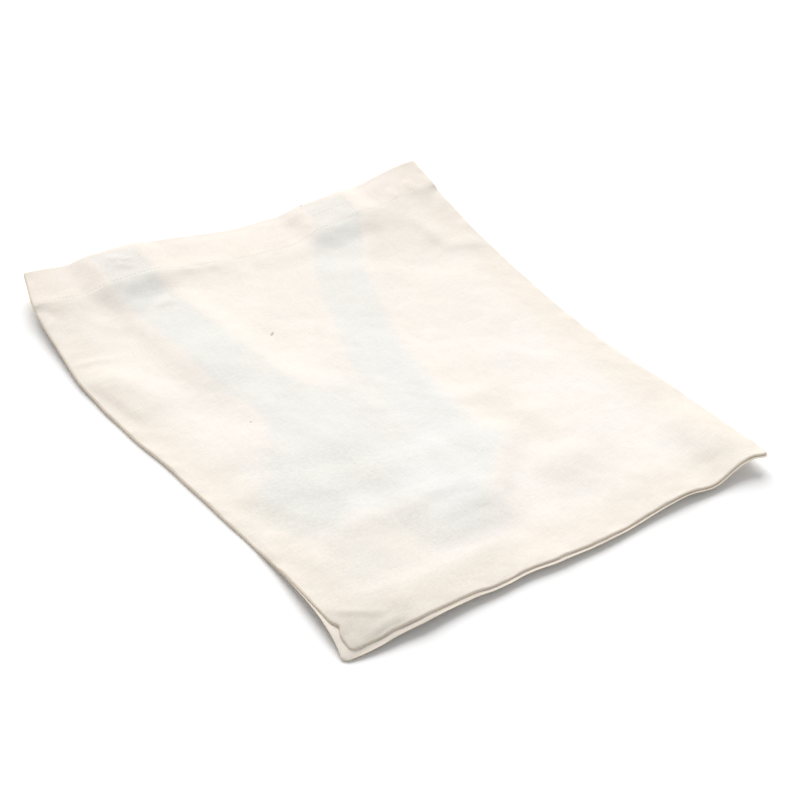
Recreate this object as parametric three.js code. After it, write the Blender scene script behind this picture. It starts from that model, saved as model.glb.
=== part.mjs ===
// A flat cotton tote bag lying on a surface, with both carrying handles tucked inside.
// Two sheets of cloth, an upper and a lower panel, lie on each other. Each has a hem at the mouth
// and seam allowances turned in along its sides and bottom. Each handle is a long strap whose ends
// are sewn inside its panel's hem. It folds over the mouth's edge, runs down between the panels,
// folds flat and comes up again.
// Millimetres. X runs across the bag, Y towards its mouth, Z up. The origin is at the bottom centre.
import * as THREE from 'three';

// Driving sizes of the cut and sewn cloth
const BAG_WIDTH = 380;
const BAG_LENGTH = 450;
const CLOTH_THICKNESS = 1.0;
const HEM_DEPTH = 40;
const HEM_EXTRA = 1.0;
const SEAM_ALLOWANCE = 9;
const SEAM_EXTRA = 0.5;
const STRAP_WIDTH = 38;
const STRAP_THICKNESS = 1.0;
const STRAP_SEWN_LENGTH = 34;
const MOUTH_TUCK = 5;
const PLY_GAP = 0.3;

// How softly cloth falls away from an edge that lies under it: it stays level for the rest width
// beyond the edge and then runs down over the fall width.
const STRAP_REST = 9;
const STRAP_FALL = 26;
const HEM_REST = 5;
const HEM_FALL = 22;
const SEAM_REST = 3;
const SEAM_FALL = 16;
const STEP_WIDTH = 3;

// Mesh steps
const PANEL_STEP = 14;
const STRAP_STEP = 8;
const STRAP_COLUMNS = 5;
const FOLD_STEPS = 4;

// Passes that find a point of the cut cloth from its place in plan
const PLAN_PASSES = 12;

// The side edges of the bag as it lies, and how far the upper panel's left edge lies inside the lower's,
// at stations along the bag
const SIDE_EDGES = [
  { along: -225, left: -185.5, right: 200, leftPull: 9 },
  { along: -204, left: -182, right: 200, leftPull: 4.5 },
  { along: -170, left: -179.5, right: 200, leftPull: 1 },
  { along: -110, left: -179, right: 198, leftPull: 0 },
  { along: -50, left: -185, right: 192, leftPull: 0 },
  { along: 0, left: -191, right: 190, leftPull: 0 },
  { along: 40, left: -197, right: 191, leftPull: 0 },
  { along: 95, left: -200, right: 193, leftPull: 0 },
  { along: 145, left: -197, right: 194, leftPull: 0 },
  { along: 190, left: -193, right: 196, leftPull: 0 },
  { along: 225, left: -183, right: 198, leftPull: 0 },
];

// The mouth and bottom edges, how high they curl off the surface, and how far the upper panel's bottom
// edge lies inside the lower's, at stations across the bag
const END_EDGES = [
  { across: -190, mouth: 226, bottom: -227, mouthLift: 15, bottomLift: 0, bottomPull: 10 },
  { across: -172, mouth: 226, bottom: -228, mouthLift: 13.5, bottomLift: 0, bottomPull: 6.5 },
  { across: -140, mouth: 225, bottom: -228, mouthLift: 11, bottomLift: 0.5, bottomPull: 4.5 },
  { across: -97, mouth: 228, bottom: -227, mouthLift: 9, bottomLift: 1, bottomPull: 3 },
  { across: -70, mouth: 229, bottom: -227.5, mouthLift: 8, bottomLift: 2.5, bottomPull: 2.5 },
  { across: -38, mouth: 229, bottom: -226.5, mouthLift: 3, bottomLift: 4, bottomPull: 2.5 },
  { across: 0, mouth: 225, bottom: -228.5, mouthLift: 0, bottomLift: 3.5, bottomPull: 2.5 },
  { across: 28, mouth: 223, bottom: -228.5, mouthLift: 1, bottomLift: 3, bottomPull: 2 },
  { across: 65, mouth: 220, bottom: -227, mouthLift: 3, bottomLift: 3, bottomPull: 2 },
  { across: 110, mouth: 222, bottom: -223.5, mouthLift: 6, bottomLift: 5, bottomPull: 1.5 },
  { across: 138, mouth: 225, bottom: -225, mouthLift: 9, bottomLift: 3.5, bottomPull: 1.5 },
  { across: 160, mouth: 227, bottom: -222, mouthLift: 12, bottomLift: 8, bottomPull: 1.5 },
  { across: 175, mouth: 227, bottom: -222, mouthLift: 13.5, bottomLift: 11.5, bottomPull: 1.5 },
  { across: 190, mouth: 226, bottom: -226, mouthLift: 15, bottomLift: 12, bottomPull: 1.5 },
];
const MOUTH_CURL_START = 30;
const BOTTOM_CURL_START = -30;
const PULL_FADE = 42;

// The hump before the near left corner: its crest line slants from the bottom edge, the cloth climbs to
// it and then droops to the surface at the corner's tip
const HUMP_SLANT = THREE.MathUtils.degToRad(19.5);
const HUMP_RISE = 7;
const HUMP_CREST = 42;
const HUMP_CLIMB = 78;
const HUMP_REACH = 50;
const HUMP_FADE = 90;

// Soft rises that the upper panel lies in: a long hump at a place and a turn from the X axis, with its
// half length, its half width and its height. The first four are broad, the others are its main folds.
const UPPER_WAVES = [
  { x: -95, y: 95, turn: 25, length: 85, width: 62, rise: 0.8 },
  { x: 112, y: 95, turn: -30, length: 80, width: 58, rise: 0.8 },
  { x: -105, y: -125, turn: 15, length: 75, width: 60, rise: 0.6 },
  { x: 110, y: -105, turn: -20, length: 95, width: 60, rise: 1.0 },
  { x: -160, y: 86, turn: -50, length: 52, width: 17, rise: 1.6 },
  { x: 114, y: 104, turn: -38, length: 68, width: 20, rise: 1.4 },
  { x: 153, y: 146, turn: 84, length: 34, width: 17, rise: 1.8 },
  { x: -122, y: -34, turn: -66, length: 34, width: 18, rise: 1.3 },
  { x: -98, y: -80, turn: -5, length: 56, width: 20, rise: 1.8 },
  { x: -112, y: -124, turn: -1, length: 42, width: 20, rise: 1.3 },
  { x: -34, y: -144, turn: -3, length: 44, width: 14, rise: 1.2 },
  { x: 60, y: -48, turn: -6, length: 44, width: 15, rise: 0.9 },
  { x: 66, y: -146, turn: -3, length: 38, width: 18, rise: 1.5 },
  { x: 177, y: -180, turn: 88, length: 48, width: 15, rise: 1.3 },
];

// The slack of the upper panel between its seams
const UPPER_SLACK = 0.8;
const SLACK_FADE = 30;

// Where the handles are sewn, across the cut cloth
const LEFT_SEAT = -113;
const RIGHT_SEAT = 84;

// The handles' centre lines between the mouth's left and its right, a list for each run between folds
const HANDLE_UPPER_RUNS = [
  [{ x: -107, y: 196 }, { x: -108, y: 168 }, { x: -102, y: 131 }, { x: -98, y: 93 },
    { x: -93, y: 48 }, { x: -84, y: 8 }, { x: -94, y: -32 }],
  [{ x: -140, y: -90 }, { x: -76, y: -108 }],
  [{ x: 22, y: -120 }, { x: 14, y: -63 }, { x: 19, y: -7 }, { x: 22, y: 28 }, { x: 33, y: 62 },
    { x: 46, y: 100 }, { x: 60, y: 138 }, { x: 79, y: 167 }, { x: 91, y: 197 }],
];
const HANDLE_LOWER_RUNS = [
  [{ x: -107, y: 196 }, { x: -107, y: 168 }, { x: -97, y: 128 }, { x: -86, y: 71 },
    { x: -79, y: 32 }, { x: -54, y: -21 }, { x: -43, y: -79 }],
  [{ x: -34, y: -164 }, { x: -2, y: -88 }, { x: 5, y: -22 }, { x: 10, y: 20 }, { x: 26, y: 63 },
    { x: 39, y: 100 }, { x: 56, y: 138 }, { x: 78, y: 167 }, { x: 91, y: 197 }],
];

// Colours, from the natural cream cloth and the whiter cotton of the straps
const CREAM_COTTON = 0xf1e8da;
const WHITE_COTTON = 0xe9ebe4;

// A smooth step from 0 to 1 as t goes from 0 to 1
function ease(t) {
  const s = THREE.MathUtils.clamp(t, 0, 1);
  return s * s * (3 - 2 * s);
}

// A smooth curve through one column of a table whose rows are stations in rising order
function curveThrough(rows, at, column) {
  const slopes = rows.map((row, i) => {
    const before = rows[Math.max(i - 1, 0)];
    const after = rows[Math.min(i + 1, rows.length - 1)];
    return (after[column] - before[column]) / (after[at] - before[at]);
  });
  return (station) => {
    const found = rows.findLastIndex((row) => row[at] <= station);
    const i = THREE.MathUtils.clamp(found, 0, rows.length - 2);
    const span = rows[i + 1][at] - rows[i][at];
    const t = THREE.MathUtils.clamp((station - rows[i][at]) / span, 0, 1);
    const end = 3 * t ** 2 - 2 * t ** 3;
    const leave = t ** 3 - 2 * t ** 2 + t;
    const arrive = t ** 3 - t ** 2;
    return (1 - end) * rows[i][column] + end * rows[i + 1][column]
      + span * (leave * slopes[i] + arrive * slopes[i + 1]);
  };
}

const leftEdge = curveThrough(SIDE_EDGES, 'along', 'left');
const rightEdge = curveThrough(SIDE_EDGES, 'along', 'right');
const mouthEdge = curveThrough(END_EDGES, 'across', 'mouth');
const bottomEdge = curveThrough(END_EDGES, 'across', 'bottom');
const mouthLift = curveThrough(END_EDGES, 'across', 'mouthLift');
const bottomLift = curveThrough(END_EDGES, 'across', 'bottomLift');
const leftPull = curveThrough(SIDE_EDGES, 'along', 'leftPull');
const bottomPull = curveThrough(END_EDGES, 'across', 'bottomPull');

// Where a point of the cut cloth, across and along from its centre, lies in plan
function layOut(across, along) {
  const acrossShare = 0.5 + across / BAG_WIDTH;
  const alongShare = 0.5 + along / BAG_LENGTH;
  return {
    x: THREE.MathUtils.lerp(leftEdge(along), rightEdge(along), acrossShare),
    y: THREE.MathUtils.lerp(bottomEdge(across), mouthEdge(across), alongShare),
  };
}

// The point of the cut cloth that lies at a place in plan
function cutPoint(x, y) {
  let across = x;
  let along = y;
  for (let pass = 0; pass < PLAN_PASSES; pass += 1) {
    const lies = layOut(across, along);
    across += x - lies.x;
    along += y - lies.y;
  }
  return { across, along };
}

// The point of the lower cloth that a point of the upper cloth lies over
function pulledIn({ across, along }) {
  const nearLeft = ease(1 - (across + BAG_WIDTH / 2) / PULL_FADE);
  const nearBottom = ease(1 - (along + BAG_LENGTH / 2) / PULL_FADE);
  return {
    across: across + leftPull(along) * nearLeft,
    along: along + bottomPull(across) * nearBottom,
  };
}

// The hump before the near left corner
function hump({ across, along }) {
  const right = across + BAG_WIDTH / 2;
  const up = along + BAG_LENGTH / 2;
  const inward = right * Math.sin(HUMP_SLANT) + up * Math.cos(HUMP_SLANT);
  const aside = right * Math.cos(HUMP_SLANT) - up * Math.sin(HUMP_SLANT);
  const climb = ease((HUMP_CREST + HUMP_CLIMB - inward) / HUMP_CLIMB);
  const droop = Math.max(1 - inward / HUMP_CREST, 0) ** 2;
  return HUMP_RISE * climb * (1 - droop) * ease(1 - (aside - HUMP_REACH) / HUMP_FADE);
}

// The height of the lower panel's underside: flat on the surface, curling up towards the edges
function curl({ across, along }) {
  const mouthShare = (along - MOUTH_CURL_START) / (BAG_LENGTH / 2 - MOUTH_CURL_START);
  const bottomShare = (BOTTOM_CURL_START - along) / (BAG_LENGTH / 2 + BOTTOM_CURL_START);
  const atMouth = Math.max(mouthLift(across), 0) * Math.max(mouthShare, 0) ** 2;
  const atBottom = Math.max(bottomLift(across), 0) * Math.max(bottomShare, 0) ** 2;
  return atMouth + atBottom + hump({ across, along });
}

// How far a point of the cut cloth lies inside its nearest sewn edge, and inside the mouth's edge
function insideSeam({ across, along }) {
  return Math.min(BAG_WIDTH / 2 - Math.abs(across), BAG_LENGTH / 2 + along);
}
function insideMouth({ along }) {
  return BAG_LENGTH / 2 - along;
}

// A panel's own thickness: the hem and the seam allowance end in a short step
function panelThickness(cut) {
  const hem = HEM_EXTRA * ease((HEM_DEPTH + STEP_WIDTH / 2 - insideMouth(cut)) / STEP_WIDTH);
  const seam = SEAM_EXTRA * ease((SEAM_ALLOWANCE + STEP_WIDTH / 2 - insideSeam(cut)) / STEP_WIDTH);
  return CLOTH_THICKNESS + hem + seam;
}

// What one hem and one seam allowance add to the height of the cloth that lies over them
function hemCover(cut) {
  return HEM_EXTRA * ease(1 - (insideMouth(cut) - HEM_DEPTH - HEM_REST) / HEM_FALL);
}
function seamCover(cut) {
  return SEAM_EXTRA * ease(1 - (insideSeam(cut) - SEAM_ALLOWANCE - SEAM_REST) / SEAM_FALL);
}

// The distance in plan from a point to a strap run's outline, 0 inside it
function distanceToOutline(x, y, outline) {
  let inside = false;
  let nearest = Infinity;
  outline.forEach((a, i) => {
    const b = outline[(i + 1) % outline.length];
    const dx = b.x - a.x;
    const dy = b.y - a.y;
    const along = ((x - a.x) * dx + (y - a.y) * dy) / (dx * dx + dy * dy || 1);
    const t = THREE.MathUtils.clamp(along, 0, 1);
    nearest = Math.min(nearest, Math.hypot(x - a.x - t * dx, y - a.y - t * dy));
    if ((a.y > y) !== (b.y > y) && x < a.x + ((y - a.y) / dy) * dx) {
      inside = !inside;
    }
  });
  return inside ? 0 : nearest;
}

// What one run of a strap adds to the height of the cloth that lies over it
function runCover(x, y, run) {
  const away = distanceToOutline(x, y, run.outline);
  return (STRAP_THICKNESS + PLY_GAP) * ease(1 - (away - STRAP_REST) / STRAP_FALL);
}

// The height that a pile of strap runs adds at a place
function pileCover(x, y, runs) {
  return runs.reduce((sum, run) => sum + runCover(x, y, run), 0);
}

// The centre line of one strap run, in plan
function centreLine(points) {
  const flat = points.map(({ x, y }) => new THREE.Vector3(x, y, 0));
  return new THREE.CatmullRomCurve3(flat, false, 'centripetal');
}

// The crosswise rows of one strap run: evenly spaced along its centre line, and turned from fold to
// fold so that its first and last rows lie on the fold lines
function runRows(line, startTurn, endTurn, side) {
  const count = Math.max(2, Math.round(line.getLength() / STRAP_STEP));
  return Array.from({ length: count + 1 }, (unused, k) => {
    const centre = line.getPointAt(k / count);
    const forward = line.getTangentAt(k / count);
    const sideways = new THREE.Vector3(-forward.y, forward.x, 0).multiplyScalar(side);
    const turn = THREE.MathUtils.lerp(startTurn, endTurn, k / count);
    const half = sideways.addScaledVector(forward, turn).multiplyScalar(STRAP_WIDTH / 2);
    return { centre, half };
  });
}

// How far a fold line slants from square across the strap, as forward travel for each unit of width,
// where the strap arrives in one heading and leaves in the other
function foldSlant(arrives, leaves, side) {
  const across = arrives.clone().sub(leaves).normalize();
  const fold = new THREE.Vector3(-across.y, across.x, 0);
  const sideways = new THREE.Vector3(-arrives.y, arrives.x, 0).multiplyScalar(side);
  return fold.dot(arrives) / fold.dot(sideways);
}

// One handle: its runs from sewn end to sewn end, each with its rows and outline. The strap turns over
// at each fold, so its face looks up on every other run.
function layHandle(middleRuns) {
  const mouthAlong = BAG_LENGTH / 2 - MOUTH_TUCK;
  const seats = [LEFT_SEAT, RIGHT_SEAT].map((seat) => {
    const atMouth = layOut(seat, mouthAlong);
    const sewnEnd = { x: atMouth.x, y: layOut(seat, mouthAlong - STRAP_SEWN_LENGTH).y };
    return { atMouth, sewnEnd };
  });
  const folds = [seats[0].atMouth, ...middleRuns.slice(1).map((run) => run[0]), seats[1].atMouth];
  const ends = [seats[0].sewnEnd, ...folds, seats[1].sewnEnd];
  const inner = [[], ...middleRuns.map((run, i) => (i === 0 ? run : run.slice(1))), []];
  const lines = inner.map((points, i) => centreLine([ends[i], ...points, ends[i + 1]]));
  const leaves = lines.map((line) => line.getTangentAt(0));
  const arrives = lines.map((line) => line.getTangentAt(1));
  const sides = lines.map((line, i) => (i % 2 === 0 ? 1 : -1));
  const slants = folds.map((fold, i) => foldSlant(arrives[i], leaves[i + 1], sides[i]));
  return lines.map((line, i) => {
    const rows = runRows(line, slants[i - 1] ?? 0, slants[i] ?? 0, sides[i]);
    const outline = [
      ...rows.map((row) => row.centre.clone().add(row.half)),
      ...rows.map((row) => row.centre.clone().sub(row.half)).reverse(),
    ];
    return { rows, outline, faceUp: sides[i], arrives: arrives[i] };
  });
}

const lowerRuns = layHandle(HANDLE_LOWER_RUNS);
const upperRuns = layHandle(HANDLE_UPPER_RUNS);

// The pile between the panels, from the bottom up. A handle's sewn ends lie against its own panel.
const PILE = [
  lowerRuns[0], lowerRuns.at(-1), ...lowerRuns.slice(1, -1),
  ...upperRuns.slice(1, -1), upperRuns[0], upperRuns.at(-1),
];

// The height of what rests on the lower panel, hem and seam allowance counted in
function restHeight(cut) {
  return curl(cut) + CLOTH_THICKNESS + PLY_GAP + hemCover(cut) + seamCover(cut);
}

// The upper panel's slack and waves, which fade out towards its hem and seams
function waveHeight(x, y, cut) {
  const inside = Math.min(insideSeam(cut) - SEAM_ALLOWANCE, insideMouth(cut) - HEM_DEPTH);
  const waves = UPPER_WAVES.reduce((sum, wave) => {
    const turn = THREE.MathUtils.degToRad(wave.turn);
    const lengthwise = ((x - wave.x) * Math.cos(turn) + (y - wave.y) * Math.sin(turn)) / wave.length;
    const widthwise = ((y - wave.y) * Math.cos(turn) - (x - wave.x) * Math.sin(turn)) / wave.width;
    return sum + wave.rise * Math.exp(-2 * (lengthwise ** 2 + widthwise ** 2));
  }, UPPER_SLACK);
  return waves * ease(inside / SLACK_FADE);
}

// A closed sheet from rows of paired points, one on its front face and one on its back
function sheetSolid(rows) {
  const columns = rows[0].length;
  const points = rows.flat();
  const positions = points.flatMap(({ front }) => front.toArray())
    .concat(points.flatMap(({ back }) => back.toArray()));
  const frontOf = (i, j) => i * columns + j;
  const backOf = (i, j) => points.length + i * columns + j;
  const faces = [];
  const quad = (a, b, c, d) => faces.push(a, b, c, a, c, d);
  const wall = (i, j, k, l) => quad(backOf(i, j), backOf(k, l), frontOf(k, l), frontOf(i, j));
  const lastRow = rows.length - 1;
  const lastColumn = columns - 1;
  for (let i = 0; i < lastRow; i += 1) {
    for (let j = 0; j < lastColumn; j += 1) {
      quad(frontOf(i, j), frontOf(i, j + 1), frontOf(i + 1, j + 1), frontOf(i + 1, j));
      quad(backOf(i, j), backOf(i + 1, j), backOf(i + 1, j + 1), backOf(i, j + 1));
    }
    wall(i, lastColumn, i + 1, lastColumn);
    wall(i + 1, 0, i, 0);
  }
  for (let j = 0; j < lastColumn; j += 1) {
    wall(0, j, 0, j + 1);
    wall(lastRow, j + 1, lastRow, j);
  }
  const geometry = new THREE.BufferGeometry();
  geometry.setAttribute('position', new THREE.Float32BufferAttribute(positions, 3));
  geometry.setIndex(faces);
  geometry.computeVertexNormals();
  return geometry;
}

// Lines of a panel's grid over a length: those beside its edges, and even steps between them
function gridLines(length, afterStart, beforeEnd) {
  const from = afterStart.at(-1);
  const to = length - beforeEnd.at(-1);
  const count = Math.round((to - from) / PANEL_STEP);
  const between = Array.from({ length: count - 1 }, (unused, k) => from + ((k + 1) * (to - from)) / count);
  return [...afterStart, ...between, ...beforeEnd.map((inset) => length - inset).reverse()]
    .map((line) => line - length / 2);
}

// A panel's grid: the step inside each seam has a line at its foot and its head, and so has the hem's
const STEP_FOOT = STEP_WIDTH / 2;
const SEAM_LINES = [0, SEAM_ALLOWANCE - STEP_FOOT, SEAM_ALLOWANCE + STEP_FOOT];
const HEM_LINES = [0, HEM_DEPTH / 3, (2 * HEM_DEPTH) / 3, HEM_DEPTH - STEP_FOOT, HEM_DEPTH + STEP_FOOT];
const ACROSS_LINES = gridLines(BAG_WIDTH, SEAM_LINES, SEAM_LINES);
const ALONG_LINES = gridLines(BAG_LENGTH, SEAM_LINES, HEM_LINES);

// A panel's sheet, from where each point of its cut cloth lies and the heights of its top and underside
function panelSolid(liesAt, heights) {
  return sheetSolid(ALONG_LINES.map((along) => ACROSS_LINES.map((across) => {
    const cut = { across, along };
    const at = liesAt(cut);
    const { x, y } = layOut(at.across, at.along);
    const { top, under } = heights(cut, at, x, y);
    return { front: new THREE.Vector3(x, y, top), back: new THREE.Vector3(x, y, under) };
  })));
}

function lowerPanel() {
  return panelSolid((cut) => cut, (cut) => {
    const under = curl(cut);
    return { top: under + panelThickness(cut), under };
  });
}

function upperPanel() {
  return panelSolid(pulledIn, (cut, at, x, y) => {
    const plies = CLOTH_THICKNESS + hemCover(cut) + seamCover(cut);
    const top = restHeight(at) + pileCover(x, y, PILE) + waveHeight(x, y, cut) + plies;
    return { top, under: top - panelThickness(cut) };
  });
}

// The points of one strap run's row, at mid thickness
function rowPoints(row, run) {
  const below = PILE.slice(0, PILE.indexOf(run));
  return Array.from({ length: STRAP_COLUMNS + 1 }, (unused, j) => {
    const point = row.centre.clone().addScaledVector(row.half, 1 - (2 * j) / STRAP_COLUMNS);
    const cut = cutPoint(point.x, point.y);
    point.z = restHeight(cut) + pileCover(point.x, point.y, below) + STRAP_THICKNESS / 2;
    return point;
  });
}

// A point of the strap with its two faces
function strapPoint(middle, normal) {
  return {
    front: middle.clone().addScaledVector(normal, STRAP_THICKNESS / 2),
    back: middle.clone().addScaledVector(normal, -STRAP_THICKNESS / 2),
  };
}

// The rows of a fold, round a half circle from one run's last row to the next run's first
function foldRows(run, lastPoints, nextPoints) {
  const fold = run.rows.at(-1).half.clone().normalize();
  const outward = run.arrives.clone().addScaledVector(fold, -run.arrives.dot(fold)).normalize();
  return Array.from({ length: FOLD_STEPS - 1 }, (unused, k) => {
    const angle = ((k + 1) * Math.PI) / FOLD_STEPS;
    return lastPoints.map((last, j) => {
      const rise = (nextPoints[j].z - last.z) / 2;
      const radial = outward.clone().multiplyScalar(Math.sin(angle));
      radial.z = -Math.sign(rise) * Math.cos(angle);
      const middle = last.clone().setZ(last.z + rise).addScaledVector(radial, Math.abs(rise));
      return strapPoint(middle, radial.multiplyScalar(-Math.sign(rise) * run.faceUp));
    });
  });
}

function strapSolid(runs) {
  const pointRows = runs.map((run) => run.rows.map((row) => rowPoints(row, run)));
  const rows = runs.flatMap((run, i) => {
    const up = new THREE.Vector3(0, 0, run.faceUp);
    const flat = pointRows[i].map((points) => points.map((point) => strapPoint(point, up)));
    const next = pointRows[i + 1];
    return next ? [...flat, ...foldRows(run, pointRows[i].at(-1), next[0])] : flat;
  });
  return sheetSolid(rows);
}

function clothMaterial(color) {
  return new THREE.MeshStandardMaterial({ color, roughness: 0.95, metalness: 0 });
}

function piece(name, geometry, material) {
  const mesh = new THREE.Mesh(geometry, material);
  mesh.name = name;
  return mesh;
}

const cream = clothMaterial(CREAM_COTTON);
const white = clothMaterial(WHITE_COTTON);

const toteBag = new THREE.Group();
toteBag.add(piece('lower_panel', lowerPanel(), cream));
toteBag.add(piece('handle_lower', strapSolid(lowerRuns), white));
toteBag.add(piece('handle_upper', strapSolid(upperRuns), white.clone()));
toteBag.add(piece('upper_panel', upperPanel(), cream.clone()));

export default toteBag;
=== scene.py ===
import math

import bpy
import numpy as np
from mathutils import Matrix, Vector


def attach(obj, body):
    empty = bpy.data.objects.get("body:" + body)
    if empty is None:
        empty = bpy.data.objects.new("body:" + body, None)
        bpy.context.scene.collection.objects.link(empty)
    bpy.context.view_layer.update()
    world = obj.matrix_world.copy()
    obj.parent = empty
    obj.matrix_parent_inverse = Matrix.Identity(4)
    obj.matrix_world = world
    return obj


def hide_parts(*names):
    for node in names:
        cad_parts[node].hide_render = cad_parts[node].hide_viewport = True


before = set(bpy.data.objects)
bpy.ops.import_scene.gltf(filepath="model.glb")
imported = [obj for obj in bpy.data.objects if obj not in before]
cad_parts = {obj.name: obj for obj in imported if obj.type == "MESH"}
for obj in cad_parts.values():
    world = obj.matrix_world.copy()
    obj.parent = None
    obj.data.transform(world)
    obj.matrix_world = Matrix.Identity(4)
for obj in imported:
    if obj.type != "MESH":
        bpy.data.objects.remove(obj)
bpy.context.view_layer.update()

MM = 0.001

# Driving sizes of the cut and sewn cloth
BAG_WIDTH = 380
BAG_LENGTH = 450
PLY = 1.0
HEM_EXTRA = 1.0
HEM_DEPTH = 40
SEAM_EXTRA = 0.5
SEAM_ALLOWANCE = 9
STRAP_WIDTH = 38
STRAP_THICKNESS = 1.0
STRAP_SEWN_LENGTH = 34
MOUTH_TUCK = 5
PLY_GAP = 0.3

# How softly cloth falls away from an edge that lies under it: how far beyond the edge it rests, and
# over how far it then falls. The hem's fall is shorter at a sewn edge.
STRAP_REST = 2
STRAP_FALL = 24
HEM_REST = 0.5
HEM_FALL = 30
HEM_FALL_AT_SEAM = 7
SEAM_REST = 1
SEAM_FALL = 30
OFF_SEAM_START = 2
OFF_SEAM_REACH = 20

# How a sewn edge strays from its smooth line, finely and broadly, and how far in the straying reaches.
# The straying of the sides and of the bottom is read off lines outside the cloth.
FINE_WAVER = 0.35
BROAD_WAVER = 0.45
WAVER_REACH = 14
SIDE_WAVER_LINE = 200
BOTTOM_WAVER_LINE = -240
CORNER_REACH = 4
CORNER_CUT = 1.6

# The small gathers along a sewn edge and along the hem's stitches. They are less at the very edge, and
# the lower cloth has them only where it is off the surface.
SEAM_PUCKER = 0.28
SEAM_PUCKER_REACH = 9
HEM_PUCKER = 0.16
HEM_PUCKER_REACH = 7
PUCKER_AT_EDGE = 0.35
PUCKER_GROWTH = 2.5
PUCKER_FLOOR = -0.9 * PLY_GAP
PUCKER_LIFT = 2

# The unevenness of handled cloth, and how far from the seams and the hem it grows
BROAD_UNEVENNESS = 0.42
MIDDLE_UNEVENNESS = 0.26
FINE_UNEVENNESS = 0.10
UNEVEN_SEAM_REACH = 22
UNEVEN_HEM_REACH = 16
UNEVEN_FINE_REACH = 8

# The upper cloth's slack over what it rests on: near the mouth, in the field, and away from the seams
MOUTH_SLACK = 0.6
MOUTH_SLACK_REACH = 14
FIELD_SLACK = 0.9
FIELD_SLACK_REACH = 60
SLACK_SEAM_REACH = 34
SEAM_PULL_REACH = 5
WAVES_ABOVE_HEM = 10
WAVES_REACH = 30
TOUCH_SOFTNESS = 0.15

# Small forms: the end of a second ply, the groove of the hem's stitches, the least thickness of an
# edge, the share of a fold's length over which it runs out, and the rounding of a strap's edge
PLY_END = 1.2
GROOVE_DEPTH = 0.08
GROOVE_HALF_WIDTH = 0.8
LEAST_EDGE = 0.12
LEAST_HALF_EDGE = 0.02
FOLD_RUN_OUT = 0.35
STRAP_ROUND = 0.9

# Mesh steps
UPPER_STEP = 2.3
LOWER_STEP = 3.6
STRAP_STEP = 2.6
STRAP_COLUMNS = 12
FOLD_STEPS = 8
HEADING_STEP = 0.05
HEM_LINES_REACH = 16
PLAN_PASSES = 12


def table(columns, *rows):
    """Named columns of numbers, a row for each station or form."""
    return dict(zip(columns.split(), np.array(rows, float).T))


SIDE_EDGES = table(
    "along left right left_pull",
    (-225, -185.5, 200, 6.5),
    (-204, -182, 200, 4),
    (-170, -179.5, 200, 1),
    (-110, -179, 198, 0),
    (-50, -185, 192, 0),
    (0, -191, 190, 0),
    (40, -197, 191, 0),
    (95, -200, 193, 0),
    (145, -197, 194, 0),
    (190, -193, 196, 0),
    (225, -183, 198, 0),
)
END_EDGES = table(
    "across mouth bottom mouth_lift bottom_lift bottom_pull",
    (-190, 226, -227, 15, 0, 3),
    (-172, 226, -228, 13.5, 0, 4),
    (-140, 225, -228, 11, 0.5, 3.5),
    (-97, 228, -227, 9, 1, 3),
    (-70, 229, -227.5, 8, 2.5, 2.5),
    (-38, 229, -226.5, 3, 4, 2.5),
    (0, 225, -228.5, 0, 3.5, 2.5),
    (28, 223, -228.5, 1, 3, 2),
    (65, 220, -227, 3, 3, 2),
    (110, 222, -223.5, 6, 5, 1.5),
    (138, 225, -225, 9, 3.5, 1.5),
    (160, 227, -222, 12, 8, 1.5),
    (175, 227, -222, 13.5, 11.5, 1.5),
    (190, 226, -226, 15, 12, 1.5),
)
MOUTH_CURL_START = 30
BOTTOM_CURL_START = -30
PULL_FADE = 42

# The hump before the near left corner, where the cloth droops to the surface
HUMP_SLANT = math.radians(19.5)
HUMP_RISE = 7
HUMP_CREST = 42
HUMP_CLIMB = 78
HUMP_REACH = 50
HUMP_FADE = 90

# The notch in the upper cloth's left edge, just before the drooping corner
NOTCH_ALONG = -203
NOTCH_DEPTH = 3
NOTCH_HALF_LENGTH = 4

# How far the hem's stitch line lies from the mouth's edge, across the bag
HEM_STITCH = table(
    "across inset",
    (-190, 35),
    (-140, 37),
    (-92, 38),
    (-45, 41),
    (0, 41.5),
    (40, 43),
    (60, 39.5),
    (94, 37),
    (133, 36),
    (190, 34),
)

# Broad rises that the upper cloth lies in, in plan
WAVES = table(
    "x y turn length width rise",
    (-95, 95, 25, 85, 62, 0.8),
    (112, 95, -30, 80, 58, 0.8),
    (-105, -125, 15, 75, 60, 0.6),
    (110, -105, -20, 95, 60, 1.0),
)

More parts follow.
